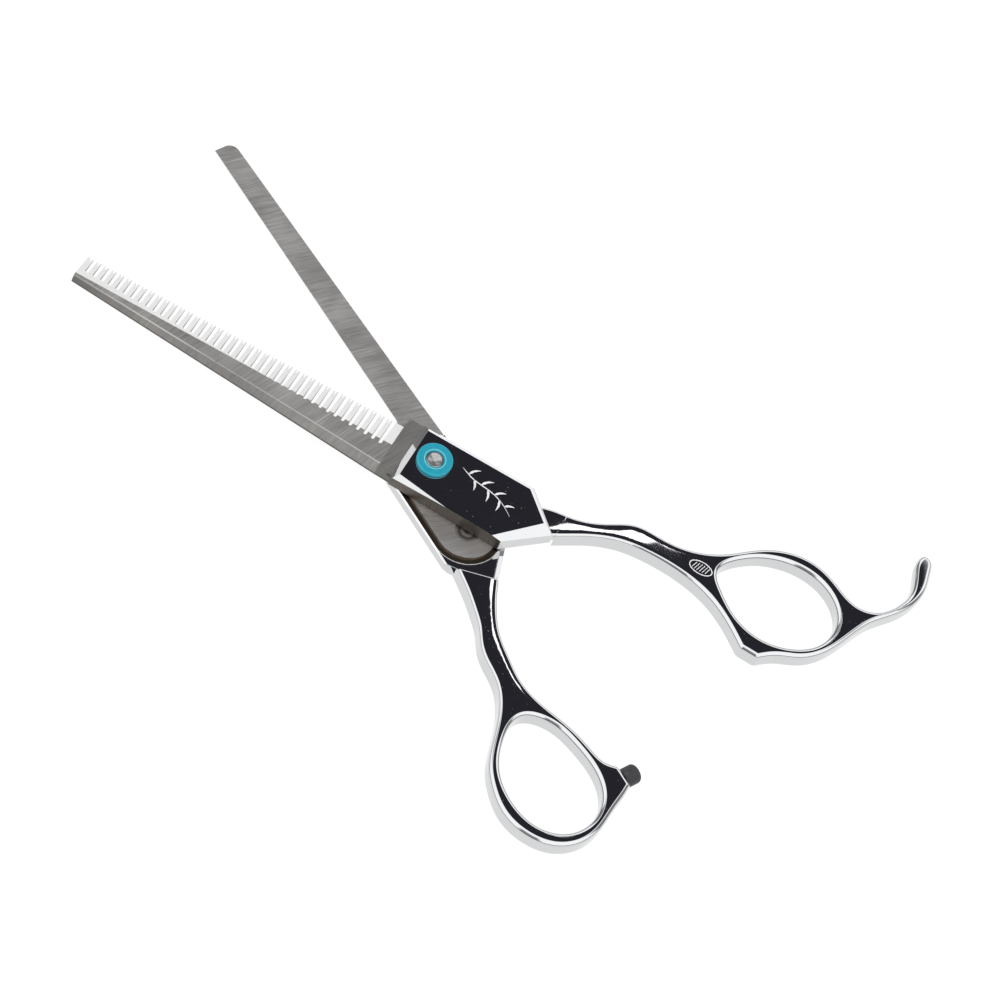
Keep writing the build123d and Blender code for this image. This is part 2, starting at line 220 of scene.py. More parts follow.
def ground_steel(name, turn, warm=(0.52, 0.50, 0.48, 1), comb=False, ride=False):
    """Satin blade steel, ground in fine strokes across the blade and rubbed in rings about the pivot.

    A comb has a polished bevel along its teeth, painted shade on the walls between them, a painted highlight
    line along the edge of a darker, coarser bevel along its spine, and painted shade over its heel plate.
    A ride has a stamp sunk behind the pivot, darkened with painted shade that is lighter in turned rings.
    """
    finish = Finish(name, Metallic=1.0)
    across = finish.noise(finish.place(turn, (0.22, 7.0, 0.5)), 1.0, 5.0, 0.65)
    reach = finish.reach_from(finish.place())
    wander = finish.noise(finish.place(), 0.16)
    ringed = finish.node("ShaderNodeCombineXYZ", {}, X=reach * 5.5, Y=wander * 2.0)
    rings = finish.noise(ringed.outputs[0], 1.0, 4.0, 0.6)
    rubbed = finish.height_of(finish.place(), 0).ramp(-7.5, -4.0)
    strokes = across * (1 - rubbed) + rings * rubbed
    coarse = finish.noise(finish.place(turn + 0.05, (0.05, 2.1, 0.4)), 1.0, 3.0, 0.6)
    scuffs = finish.noise(finish.place(turn - 0.06, (0.07, 5.5, 0.4)), 1.0, 2.0).ramp(0.66, 0.72)
    cloud = finish.noise(finish.place(), 0.09, 3.0)
    shade = (0.5 * strokes + 0.3 * coarse + 0.35 * cloud + 0.25 * scuffs).ramp(0.25, 0.95)
    dark = tuple(0.48 * c for c in warm[:3]) + (1,)
    light = tuple(min(1.0, 1.38 * c) for c in warm[:3]) + (1,)
    colour = shade.mix(dark, light)
    rough = 0.27 + 0.16 * strokes + 0.08 * cloud
    if comb:
        along = finish.height_of(finish.place(), 0)
        across_blade = finish.height_of(finish.place(), 1)
        from_ridge = across_blade - (COMB_RIDGE[1] + COMB_RIDGE[2] * (along - COMB_RIDGE[0]))
        from_foot = across_blade - (COMB_FOOT[1] + COMB_FOOT[2] * (along - COMB_FOOT[0]))
        facing = finish.node("ShaderNodeTexCoord").outputs["Normal"]
        # painted shade: the side walls between the teeth, picked by their facing, are darkened
        painted_wall_shade = finish.height_of(facing).ramp(0.55, 0.2)
        plate = along.ramp(HEEL_START - 0.2, HEEL_START + 0.2)
        bevel = from_foot.ramp(-0.04, 0.04) * (1 - plate)
        # painted highlight: a bright line along the edge of the spine's bevel
        painted_ridge_highlight = from_ridge.size().ramp(0.16, 0.05) * (1 - plate)
        spine = from_ridge.ramp(0.04, -0.04)
        # painted shade darkens the heel plate; the spine is darkened too
        colour = colour.mixed_with((0.20, 0.19, 0.175, 1), 0.5 * plate + 0.42 * spine)
        colour = colour.mixed_with((0.60, 0.595, 0.585, 1), bevel)
        colour = colour.mixed_with((0.85, 0.84, 0.82, 1), painted_ridge_highlight)
        colour = colour.mixed_with((0.07, 0.065, 0.06, 1), 0.9 * painted_wall_shade)
        rough = rough - 0.12 * bevel - 0.1 * painted_ridge_highlight
    if ride:
        off_stamp = finish.reach_from(finish.place(OPENING), STAMP_CENTRE)
        turns = (off_stamp * 5.2).sine()
        # painted shade: the sunk stamp is darkened, lighter in turned rings
        stamp = off_stamp.ramp(2.4, 2.2)
        colour = colour.mixed_with((0.09, 0.08, 0.07, 1), stamp * (0.55 + 0.35 * turns))
    finish.feed("Base Color", colour)
    finish.feed("Roughness", rough)
    finish.bump(strokes + 0.6 * coarse, 0.012, 0.55)
    return finish.material


def turned_metal(name, colour, rough, light_colour, metallic=1.0, line=None):
    """Metal turned on a lathe: rings about the pivot, and one fine painted highlight ring at a radius where
    asked.
    """
    finish = Finish(name, Metallic=metallic)
    place = finish.place()
    radius = finish.reach_from(place)
    rings = (radius * 42.0).sine()
    cloud = finish.noise(place, 1.3, 3.0)
    shade = (0.55 * cloud + 0.1 * rings).clamped().mix(colour, light_colour)
    if line:
        # painted highlight: a lighter ring where a fine groove would catch the light
        shade = shade.mixed_with((0.35, 0.80, 0.86, 1), (radius - line).size().ramp(0.07, 0.03))
    finish.feed("Base Color", shade)
    finish.feed("Roughness", rough + 0.08 * cloud + 0.03 * rings)
    finish.bump(0.004 * rings + 0.01 * cloud, 0.3, 0.3)
    return finish.material


def bumper_rubber():
    finish = Finish("bumper_rubber")
    place = finish.place()
    grain = finish.noise(place, 9.0, 3.0)
    dust = finish.noise(place, 1.1, 4.0).ramp(0.45, 0.8)
    finish.feed("Base Color", (0.6 * dust).mix((0.028, 0.028, 0.030, 1), (0.085, 0.083, 0.082, 1)))
    finish.feed("Roughness", 0.52 + 0.2 * grain)
    finish.bump(grain, 0.03, 0.5)
    return finish.material


def bushing_plastic():
    finish = Finish("bushing_plastic")
    place = finish.place()
    grain = finish.noise(place, 6.0, 3.0)
    finish.feed("Base Color", grain.mix((0.78, 0.77, 0.73, 1), (0.88, 0.87, 0.84, 1)))
    finish.feed("Roughness", 0.42 + 0.15 * grain)
    finish.bump(grain, 0.01, 0.4)
    return finish.material


def frosted_mark():
    """The sandblasted steel inside an etched or stamped mark."""
    finish = Finish("frosted_mark", Metallic=1.0)
    place = finish.place()
    frost = finish.noise(place, 11.0, 3.0)
    finish.feed("Base Color", frost.mix((0.80, 0.80, 0.80, 1), (0.97, 0.97, 0.97, 1)))
    finish.feed("Roughness", 0.55 + 0.2 * frost)
    finish.bump(frost, 0.03, 0.6)
    return finish.material


STEEL = polished_steel("polished_steel")
MARK = frosted_mark()
# ground steel in a very dark tone: painted shade on a block's side
GROUND_AND_SHADE = ground_steel("ground_side_painted_shade", radians(90), (0.13, 0.115, 0.10, 1))


# ------------------------------------------------------------------ drawing
def through(points, spacing, closed=False):
    """Points along a smooth line through the given ones, about spacing apart."""
    p = np.array(points + [points[0]] if closed else points, float)
    t = np.r_[0, np.cumsum(np.linalg.norm(np.diff(p, axis=0), axis=1))]
    n = len(p)
    h = np.diff(t)
    a = np.zeros((n, n))
    b = np.zeros((n, 2))
    slope = np.diff(p, axis=0) / h[:, None]
    for i in range(1, n - 1):
        a[i, i - 1], a[i, i], a[i, i + 1] = h[i - 1], 2 * (h[i - 1] + h[i]), h[i]
        b[i] = 6 * (slope[i] - slope[i - 1])
    if closed:
        a[0, 0], a[0, 1], a[0, n - 2] = 2 * (h[-1] + h[0]), h[0], h[-1]
        b[0] = 6 * (slope[0] - slope[-1])
        a[-1, 0], a[-1, -1] = 1, -1
    else:
        a[0, 0] = a[-1, -1] = 1
    bend = np.linalg.solve(a, b)
    u = np.linspace(0, t[-1], max(3, int(t[-1] / spacing)) + 1)
    k = np.clip(np.searchsorted(t, u, "right") - 1, 0, n - 2)
    x0, x1 = (u - t[k])[:, None], (t[k + 1] - u)[:, None]
    w = h[k][:, None]
    line = (bend[k] * x1 ** 3 + bend[k + 1] * x0 ** 3) / (6 * w)
    line += (p[k] / w - bend[k] * w / 6) * x1 + (p[k + 1] / w - bend[k + 1] * w / 6) * x0
    return line[:-1] if closed else line


def straight(a, b, spacing):
    n = max(1, int(np.hypot(b[0] - a[0], b[1] - a[1]) / spacing))
    return np.array([a + (b - a) * k / n for k in range(1, n)]).reshape(-1, 2)


def inside(points, loop):
    x, y = points[:, 0][:, None], points[:, 1][:, None]
    a, b = loop, np.roll(loop, -1, axis=0)
    crosses = (a[:, 1] > y) != (b[:, 1] > y)
    reach = a[:, 0] + (y - a[:, 1]) * (b[:, 0] - a[:, 0]) / np.where(a[:, 1] == b[:, 1], 1, b[:, 1] - a[:, 1])
    return (np.sum(crosses & (x < reach), axis=1) % 2).astype(bool)


def distance_to(points, loop):
    """How far each point is from a closed line."""
    a, b = loop, np.roll(loop, -1, axis=0)
    run = b - a
    length = np.maximum((run ** 2).sum(1), 1e-12)
    nearest = np.full(len(points), np.inf)
    for start in range(0, len(points), 4000):
        p = points[start:start + 4000]
        along = np.clip(((p[:, None] - a) * run).sum(2) / length, 0, 1)
        gap = p[:, None] - a - along[..., None] * run
        nearest[start:start + 4000] = np.sqrt((gap ** 2).sum(2).min(1))
    return nearest


def inward(loop):
    """Unit normals that point into the area on a closed line's left."""
    run = np.roll(loop, -1, axis=0) - np.roll(loop, 1, axis=0)
    run /= np.maximum(np.linalg.norm(run, axis=1), 1e-9)[:, None]
    return np.stack([-run[:, 1], run[:, 0]], axis=1)


def area_of(loop):
    b = np.roll(loop, -1, axis=0)
    return 0.5 * np.sum(loop[:, 0] * b[:, 1] - b[:, 0] * loop[:, 1])


def swell(loops):
    """A smooth cushion-like height over an area, 0 at its edges: a soap film under even pressure."""
    spacing, rounds = 0.22, 1500
    low = loops[0].min(0) - 2 * spacing
    size = np.ceil((loops[0].max(0) + 2 * spacing - low) / spacing).astype(int) + 1
    gx, gy = np.meshgrid(np.arange(size[0]), np.arange(size[1]), indexing="ij")
    grid = np.stack([gx.ravel(), gy.ravel()], 1) * spacing + low
    within = inside(grid, loops[0])
    for hole in loops[1:]:
        within &= ~inside(grid, hole)
    within = within.reshape(size)
    film = np.zeros(size)
    for _ in range(rounds):
        total = film[:-2, 1:-1] + film[2:, 1:-1] + film[1:-1, :-2] + film[1:-1, 2:]
        film[1:-1, 1:-1] = np.where(within[1:-1, 1:-1], 0.25 * (total + spacing ** 2), 0)

    def height(points):
        f = np.clip((points - low) / spacing, 0, np.array(size) - 1.001)
        i, j = f.astype(int).T
        u, v = (f - f.astype(int)).T
        near = film[i, j] * (1 - u) + film[i + 1, j] * u
        far = film[i, j + 1] * (1 - u) + film[i + 1, j + 1] * u
        return near * (1 - v) + far * v

    return height


# ------------------------------------------------------------------ making pieces
def to_frame(half, points):
    """From a half's own shut drawing, in millimetres, to the frame, in metres."""
    turn = -OPENING if half == "thumb" else 0.0
    p = np.array(points, float).reshape(-1, 3)
    x = p[:, 0] * cos(turn) - p[:, 1] * sin(turn)
    y = p[:, 0] * sin(turn) + p[:, 1] * cos(turn)
    return np.stack([x, y, p[:, 2] + PARTING], axis=1) * MM


def add_piece(name, half, body, corners, faces, material, stands_for=(), normals=None):
    mesh = bpy.data.meshes.new(name)
    mesh.from_pydata(to_frame(half, corners).tolist(), [], faces)
    mesh.validate()
    mesh.update()
    mesh.polygons.foreach_set("use_smooth", [True] * len(mesh.polygons))
    if normals is not None:
        turned = to_frame(half, normals) - to_frame(half, np.zeros((1, 3)))
        turned /= np.linalg.norm(turned, axis=1)[:, None]
        mesh.normals_split_custom_set_from_vertices(turned.tolist())
    mesh.materials.append(material)
    piece = bpy.data.objects.new(name, mesh)
    bpy.context.scene.collection.objects.link(piece)
    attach(piece, body)
    if stands_for:
        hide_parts(*stands_for)
    return piece


def carried(node, material):
    """A CAD node that stays, with its own finish."""
    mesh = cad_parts[node].data
    mesh.materials.clear()
    mesh.materials.append(material)


LIMB_HALF_HEIGHT = 2.2
CROWN = 0.16
CROWN_REACH = 1.2
EDGE_DEPTHS = (0.015, 0.05, 0.1, 0.17, 0.25, 0.34, 0.44, 0.54, 0.64, 0.74, 0.84, 0.94, 1.1, 1.35, 1.7)


def handle_shell(outline, hole, step, level, keep_upper, dip):
    """The forged limb of a handle with its ring: upright sides, rounded edges and softly crowned faces.

    The step is a line from one point to another. On the pivot's side of it, metal is left only above level, or
    only below. dip is how far the upper face is lowered at each place.
    """
    loops = [outline if area_of(outline) > 0 else outline[::-1],
             hole if area_of(hole) < 0 else hole[::-1]]
    film = swell(loops)
    foot, run = np.array(step[0], float), np.array(step[1], float) - step[0]

    def near(p):
        return (run[0] * (p[:, 1] - foot[1]) - run[1] * (p[:, 0] - foot[0])) > 0

    points = [loops[0], loops[1]]
    for depth in EDGE_DEPTHS:
        for loop in loops:
            moved = (loop + inward(loop) * depth)[::1 if depth < 1.2 else 2]
            moved = moved[distance_to(moved, loops[0]) > 0.93 * depth]
            points.append(moved[distance_to(moved, loops[1]) > 0.93 * depth])
    low, high = loops[0].min(0), loops[0].max(0)
    rows = []
    for j, y in enumerate(np.arange(low[1], high[1], 0.5)):
        xs = np.arange(low[0] + (j % 2) * 0.28, high[0], 0.56)
        rows.append(np.stack([xs, np.full(len(xs), y)], axis=1))
    fill = np.concatenate(rows)
    fill = fill[inside(fill, loops[0]) & ~inside(fill, loops[1])]
    fill = fill[(distance_to(fill, loops[0]) > 2.1) & (distance_to(fill, loops[1]) > 2.1)]
    ends = foot + run * np.array([[0.0], [1.0]])
    along = foot + run * np.linspace(0.02, 0.98, 36)[:, None]
    away = np.array([run[1], -run[0]]) / np.hypot(*run)
    ribs = np.concatenate([along + away * depth for depth in (0.02, 0.07, 0.14, 0.22, 0.32, 0.42)])
    ribs = ribs[inside(ribs, loops[0]) & (distance_to(ribs, loops[0]) > 0.12)]
    points = np.concatenate(points + [fill, ribs, ends])
    n0, n1 = len(loops[0]), len(loops[1])
    edges = [(i, (i + 1) % n0) for i in range(n0)]
    edges += [(n0 + i, n0 + (i + 1) % n1) for i in range(n1)]
    edges.append((len(points) - 2, len(points) - 1))
    flat, _, tris, *_ = delaunay_2d_cdt([Vector(p) for p in points], edges, [], 0, 1e-5)
    flat = np.array([tuple(v) for v in flat])
    tris = np.array(tris)
    middle = flat[tris].mean(1)
    tris = tris[inside(middle, loops[0]) & ~inside(middle, loops[1])]
    side = np.minimum(distance_to(flat, loops[0]), distance_to(flat, loops[1]))
    on_rim = side < 1e-4

    def face_height(p):
        d = np.minimum(distance_to(p, loops[0]), distance_to(p, loops[1]))
        edge = 0.5 + 0.38 * np.clip((p[:, 0] - 40) / 14, 0, 1)
        round_off = edge * (np.sqrt(np.clip(1 - (1 - np.clip(d / edge, 0, 1)) ** 2, 0, 1)) - 1)
        u = film(p)
        return LIMB_HALF_HEIGHT - CROWN + round_off + CROWN * (1 - np.exp(-u / CROWN_REACH))

    def slopes(height):
        e = 0.02
        return [(height(flat + move) - height(flat - move)) / (2 * e) for move in ((e, 0), (0, e))]

    up = face_height(flat)
    gx, gy = slopes(face_height)
    sx, sy = slopes(dip)
    count = len(flat)
    up_height, low_height = up + dip(flat), -up
    up_normals = np.stack([-(gx + sx), -(gy + sy), np.ones(count)], axis=1)
    low_normals = np.stack([-gx, -gy, -np.ones(count)], axis=1)
    outward = np.zeros((count, 2))
    for loop in loops:
        gap = np.linalg.norm(flat[on_rim][:, None] - loop[None], axis=2)
        hit = np.flatnonzero(on_rim)[gap.min(1) < 0.3]
        outward[hit] = -inward(loop)[gap.argmin(1)[gap.min(1) < 0.3]]
    for rim_normals in (up_normals, low_normals):
        rim_normals[on_rim] = np.c_[outward[on_rim], np.zeros(on_rim.sum())]
    flat_face = np.tile((0.0, 0.0, -1.0 if keep_upper else 1.0), (count, 1))
    side_normals = np.c_[outward, np.zeros(count)]
    back = Vector((run[1], -run[0], 0)).normalized()
    riser = np.tile((-back.x, -back.y, 0.0), (count, 1))
    step_level = np.full(count, level)
    far_height = low_height if keep_upper else up_height
    # corner sets: upper, lower, the cut level's face, its sides, the step's two edges
    corners = np.concatenate([np.c_[flat, z] for z in (
        up_height, low_height, step_level, step_level, step_level, far_height)])
    normals = np.concatenate([up_normals, low_normals, flat_face, side_normals, riser, riser])
    cut = near(flat[tris].mean(1))
    faces, rim = [], {}
    for (a, b, c), is_cut in zip(tris.tolist(), cut.tolist()):
        upper, lower = (2 if is_cut and not keep_upper else 0), (2 if is_cut and keep_upper else 1)
        faces.append((a + upper * count, b + upper * count, c + upper * count))
        faces.append((c + lower * count, b + lower * count, a + lower * count))
        for i, j in ((a, b), (b, c), (c, a)):
            rim[(i, j)] = is_cut
    for (i, j), is_cut in rim.items():
        if (j, i) not in rim:
            upper, lower = (3 if is_cut and not keep_upper else 0), (3 if is_cut and keep_upper else 1)
            faces.append((i + upper * count, i + lower * count, j + lower * count, j + upper * count))
        elif is_cut and not rim[(j, i)]:
            quad = (i + 4 * count, j + 4 * count, j + 5 * count, i + 5 * count)
            faces.append(quad if keep_upper else quad[::-1])
    used = np.unique(np.concatenate([np.array(f) for f in faces]))
    place = np.full(len(corners), -1)
    place[used] = np.arange(len(used))
    return corners[used], [tuple(int(place[i]) for i in f) for f in faces], normals[used]


def convex_block(planes):
    """A block cut from a bar by flat grinding; each plane is a point on it and its outward direction."""
    bm = bmesh.new()
    bmesh.ops.create_cube(bm, size=80)
    for point, outward in planes:
        cut = bmesh.ops.bisect_plane(bm, geom=bm.verts[:] + bm.edges[:] + bm.faces[:], plane_co=point,
                                     plane_no=outward, clear_outer=True)
        edges = [e for e in cut["geom_cut"] if isinstance(e, bmesh.types.BMEdge)]
        if edges:
            bmesh.ops.contextual_create(bm, geom=edges)
    bmesh.ops.remove_doubles(bm, verts=bm.verts[:], dist=1e-4)
    bmesh.ops.dissolve_limit(bm, angle_limit=0.002, verts=bm.verts[:], edges=bm.edges[:])
    bmesh.ops.recalc_face_normals(bm, faces=bm.faces[:])
    return bm


def wall_planes(outline, level):
    """Upright planes through each side of an anticlockwise outline."""
    planes = []
    for (x0, y0), (x1, y1) in zip(outline, outline[1:] + outline[:1]):
        planes.append(((x0, y0, level), Vector((y1 - y0, x0 - x1, 0)).normalized()))
    return planes


def facet(a, b, degrees, level):
    """A flat ground along the line from a to b at a height, falling away to the line's right."""
    outward = Vector((b[1] - a[1], a[0] - b[0], 0)).normalized()
    fall = radians(degrees)
    return ((a[0], a[1], level), Vector((outward.x * sin(fall), outward.y * sin(fall), cos(fall))))


def finish_edges(piece):
    """Breaks the sharp edges so that they catch the light."""
    bevel = piece.modifiers.new("edges", "BEVEL")
    bevel.width = 0.09 * MM
    bevel.segments = 2
    bevel.limit_method = "ANGLE"
    bevel.angle_limit = radians(12)
    bevel.harden_normals = True


def grind_and_shade_side(piece, facing):
    """Leaves the side that faces one way as it came from the grinding wheel, darkened with painted shade."""
    piece.data.materials.append(GROUND_AND_SHADE)
    for side in piece.data.polygons:
        if side.normal.x * facing[0] + side.normal.y * facing[1] > 0.9:
            side.material_index = 1


def piece_from(bm, name, half, body, material, stands_for=()):
    bm.verts.index_update()
    corners = [tuple(v.co) for v in bm.verts]
    faces = [tuple(v.index for v in f.verts) for f in bm.faces]
    bm.free()
    return add_piece(name, half, body, corners, faces, material, stands_for)


def drill(piece, radius, low, high):
    """Bores a round hole on the pivot's axis from one height to another."""
    bm = bmesh.new()
    bmesh.ops.create_cone(bm, cap_ends=True, segments=96, radius1=radius * MM, radius2=radius * MM,
                          depth=(high - low) * MM)
    mesh = bpy.data.meshes.new("drill")
    bm.to_mesh(mesh)
    bm.free()
    tool = bpy.data.objects.new("drill", mesh)
    bpy.context.scene.collection.objects.link(tool)
    tool.matrix_world = Matrix.Translation(to_frame("finger", [(0, 0, (low + high) / 2)])[0])
    cutter = piece.modifiers.new("bore", "BOOLEAN")
    cutter.operation = "DIFFERENCE"
    cutter.solver = "EXACT"
    cutter.object = tool
    bpy.context.view_layer.update()
    done = bpy.data.meshes.new_from_object(piece.evaluated_get(bpy.context.evaluated_depsgraph_get()))
    piece.modifiers.remove(cutter)
    piece.data = done
    bpy.data.objects.remove(tool)


def lathed(name, profile, body, material, stands_for):
    """A lathe-turned piece about the pivot, from its closed half section of (radius, height)."""
    steps, n = 128, len(profile)
    bm = bmesh.new()
    verts = []
    for k in range(steps):
        angle = 2 * pi * k / steps
        verts += [bm.verts.new((r * cos(angle), r * sin(angle), z)) for r, z in profile]
    for k in range(steps):
        m = (k + 1) % steps
        for i in range(n - 1):
            bm.faces.new([verts[k * n + i], verts[m * n + i], verts[m * n + i + 1], verts[k * n + i + 1]])
    bmesh.ops.remove_doubles(bm, verts=bm.verts[:], dist=1e-5)
    bmesh.ops.recalc_face_normals(bm, faces=bm.faces[:])
    return piece_from(bm, name, "finger", body, material, stands_for)


# ------------------------------------------------------------------ finger handle
SPACING = 0.32  # between points along a handle's outline


def handle_outline(lower_side, upper_side):
    """A handle's plan as one closed line, from its lower side and its upper side carried round the ring."""
    lower, upper = through(lower_side, SPACING), through(upper_side, SPACING)
    end, start = straight(lower[-1], upper[-1], 0.45), straight(upper[0], lower[0], 0.45)
    return np.concatenate([lower, end, upper[::-1], start])


finger_outline = handle_outline(
    [(18.8, -3.1), (24.2, -0.3), (30.2, 3.8), (35.5, 6.3), (42.0, 7.3), (48.2, 7.1), (53.6, 5.9), (58.6, 3.5),
     (63.2, 0.3)],
    [(18.4, 3.2), (21.7, 4.6), (26.0, 5.5), (31.5, 8.0), (36.4, 10.9), (41.0, 11.3), (46.5, 12.2),
     (52.3, 15.4), (57.1, 19.8), (61.5, 22.4), (67.0, 23.3), (72.0, 22.0), (77.6, 20.2), (81.2, 21.5),
     (83.6, 25.0), (84.3, 28.6), (83.1, 32.9), (82.5, 35.9), (83.2, 37.4), (84.5, 37.2), (85.6, 35.0),
     (86.4, 31.0), (86.0, 27.0), (84.0, 22.8), (81.0, 18.6), (79.3, 14.7), (77.9, 11.0), (75.9, 7.4),
     (73.0, 4.7), (69.6, 2.8), (66.8, 0.3)])
finger_hole = through(
    [(53.0, 11.2), (55.4, 16.0), (60.0, 19.3), (66.0, 20.7), (72.0, 19.2), (75.6, 15.0), (75.1, 9.5),
     (70.8, 5.6), (65.0, 4.2), (59.5, 5.6), (55.2, 8.6)], SPACING, closed=True)


def rest_fall(p):
    """The little finger rest falls away towards its tip."""
    return -0.11 * np.clip(p[:, 1] - 23.5, 0, None) * np.clip((p[:, 0] - 78) / 4, 0, 1)


corners, faces, normals = handle_shell(
    finger_outline, finger_hole, ((25.1, -3.0), (25.1, 8.0)), 0.5, True, rest_fall)
add_piece("finger_limb", "finger", "finger_half", corners, faces, STEEL, ["finger_handle"],
          normals)

finger_plan = [(-5.0, -6.95), (17.6, -6.9), (24.8, -0.2), (17.6, 6.3), (-5.0, 6.3)]
planes = wall_planes(finger_plan, 0)
planes += [((0, 0, 0.03), Vector((0, 0, -1))), ((0, 0, BLOCK_HEIGHT), Vector((0, 0, 1)))]
planes += [
    facet((-3.85, 6.3), (-3.85, -6.95), 45, BLOCK_HEIGHT),
    facet((17.0, 5.15), (-3.4, 4.65), 17, BLOCK_HEIGHT),
    facet((17.2, 5.62), (-3.4, 5.12), 55, 3.26),
    facet((23.4, -0.35), (17.0, 5.15), 17, BLOCK_HEIGHT),
    facet((23.7, 0.0), (17.3, 5.5), 55, 3.26),
    facet((17.2, -5.2), (22.2, 0.5), 13, BLOCK_HEIGHT),
    facet((-5.0, -5.8), (6.5, -6.95), 35, BLOCK_HEIGHT),
]
block = piece_from(convex_block(planes), "finger_block", "finger", "finger_half", STEEL)
drill(block, NUT_RADIUS + 0.06, 0.8, 6)
# the block's side facing -y is ground and darkened with painted shade
grind_and_shade_side(block, (0, -1))
finish_edges(block)

# ------------------------------------------------------------------ thumb handle
thumb_outline = handle_outline([
    (17.4, -6.7), (20.4, -7.2), (24.0, -7.8), (27.6, -8.7), (30.7, -9.7), (33.4, -11.1), (36.4, -12.0),
    (39.2, -12.3), (41.6, -12.8), (44.0, -13.9), (46.3, -15.5), (50.6, -19.6), (54.3, -22.7), (57.2, -24.0),
    (62.7, -25.0), (68.1, -23.5), (72.0, -20.2), (73.7, -15.4), (73.0, -11.1), (70.9, -6.7), (69.6, -3.8),
    (68.5, -1.8)], [
    (21.4, 0.6), (24.1, -1.1), (27.0, -3.3), (29.9, -5.2), (32.6, -6.6), (35.2, -7.4), (38.5, -8.0),
    (42.2, -8.5), (45.8, -8.2), (49.5, -7.1), (52.9, -5.8), (56.4, -4.8), (60.0, -4.2), (62.8, -3.4),
    (64.5, -1.8)])
thumb_hole = through([
    (48.7, -12.0), (52.0, -8.2), (57.5, -6.5), (63.0, -6.1), (68.0, -7.6), (71.0, -11.4), (71.0, -16.6),
    (67.5, -20.7), (62.0, -22.2), (56.3, -21.3), (51.6, -18.0)], SPACING, closed=True)


def step_round(p):
    """The shank's top is rounded over where it steps up behind the other half's block."""
    foot, run = np.array(THUMB_STEP[0]), np.subtract(THUMB_STEP[1], THUMB_STEP[0])
    beyond = ((p[:, 0] - foot[0]) * run[1] - (p[:, 1] - foot[1]) * run[0]) / np.hypot(*run)
    share = np.clip(beyond / STEP_ROUNDING, 0, 1)
    return STEP_ROUNDING * (np.sqrt(np.clip(1 - (1 - share) ** 2, 0, 1)) - 1)


corners, faces, normals = handle_shell(
    thumb_outline, thumb_hole, THUMB_STEP, RIDE_LEVEL - 0.08, False, step_round)
add_piece("thumb_limb", "thumb", "thumb_half", corners, faces, STEEL, ["thumb_handle"],
          normals)

thumb_plan = [(-5.0, -7.5), (16.7, -7.5), (24.8, -1.4), (16.7, 6.3), (-5.0, 6.3)]
planes = wall_planes(thumb_plan, 0)
planes += [((0, 0, -BLOCK_HEIGHT), Vector((0, 0, -1))), ((0, 0, RIDE_LEVEL), Vector((0, 0, 1)))]
planes += [
    facet((-5.0, -7.15), (16.7, -7.15), 40, RIDE_LEVEL),
    facet((23.9, -1.7), (16.2, 5.6), 13, RIDE_LEVEL),
    ((-4.1, 0, -BLOCK_HEIGHT), Vector((-1, 0, -1)).normalized()),
    ((0, -6.7, -BLOCK_HEIGHT), Vector((0, -1, -1)).normalized()),
]
# the seat finish carries painted shade round the tongue and a painted highlight along its rim
block = piece_from(convex_block(planes), "thumb_block", "thumb", "thumb_half",
                   polished_steel("seat_steel", seat=True))
finish_edges(block)

# ------------------------------------------------------------------ marks
STROKE_HEIGHT = 0.012


def brush_strokes(name, body, strokes, level):
    """Frosted strokes on a flat face: each is a line of points and its greatest width."""
    corners, faces = [], []
    for line, width in strokes:
        spine = through(line, 0.12)
        run = np.gradient(spine, axis=0)
        run /= np.linalg.norm(run, axis=1)[:, None]
        side = np.stack([-run[:, 1], run[:, 0]], axis=1)
        share = np.linspace(0, 1, len(spine))
        ripple = 1 + 0.12 * np.sin(17 * share + len(line))
        half = 0.5 * width * (0.22 + 0.78 * np.sin(pi * share ** 0.7)) * ripple
        base = len(corners)
        for p, n, h in zip(spine, side, half):
            for reach in (-1, -0.55, 0.55, 1):
                corners.append((*(p + n * h * reach), level + (STROKE_HEIGHT if abs(reach) < 1 else -0.03)))
        for k in range(len(spine) - 1):
            for j in range(3):
                a = base + 4 * k + j
                faces.append((a, a + 4, a + 5, a + 1))
    return add_piece(name, "finger", body, corners, faces, MARK)


stem = [(4.8, 1.9), (7.6, 0.9), (10.6, 0.6), (13.6, -0.1), (16.6, -1.9)]
sprig = [(stem, 0.3)]
leaves = [
    (6.4, 1.3, 62, 2.4), (7.7, 0.9, -52, 2.2), (9.3, 0.7, 58, 2.5), (10.7, 0.6, -58, 2.5),
    (12.2, 0.3, 52, 2.3), (13.4, 0.0, -66, 2.3), (14.8, -0.7, 40, 1.9),
]  # each leaf's foot, its heading in degrees and its length
for x, y, heading, length in leaves:
    a, b = radians(heading), radians(heading - 24)
    sprig.append(([(x, y), (x + 0.5 * length * cos(a), y + 0.5 * length * sin(a)),
                   (x + 0.5 * length * (cos(a) + cos(b)), y + 0.5 * length * (sin(a) + sin(b)))], 0.62))
brush_strokes("engraved_sprig", "finger_half", sprig, BLOCK_HEIGHT)



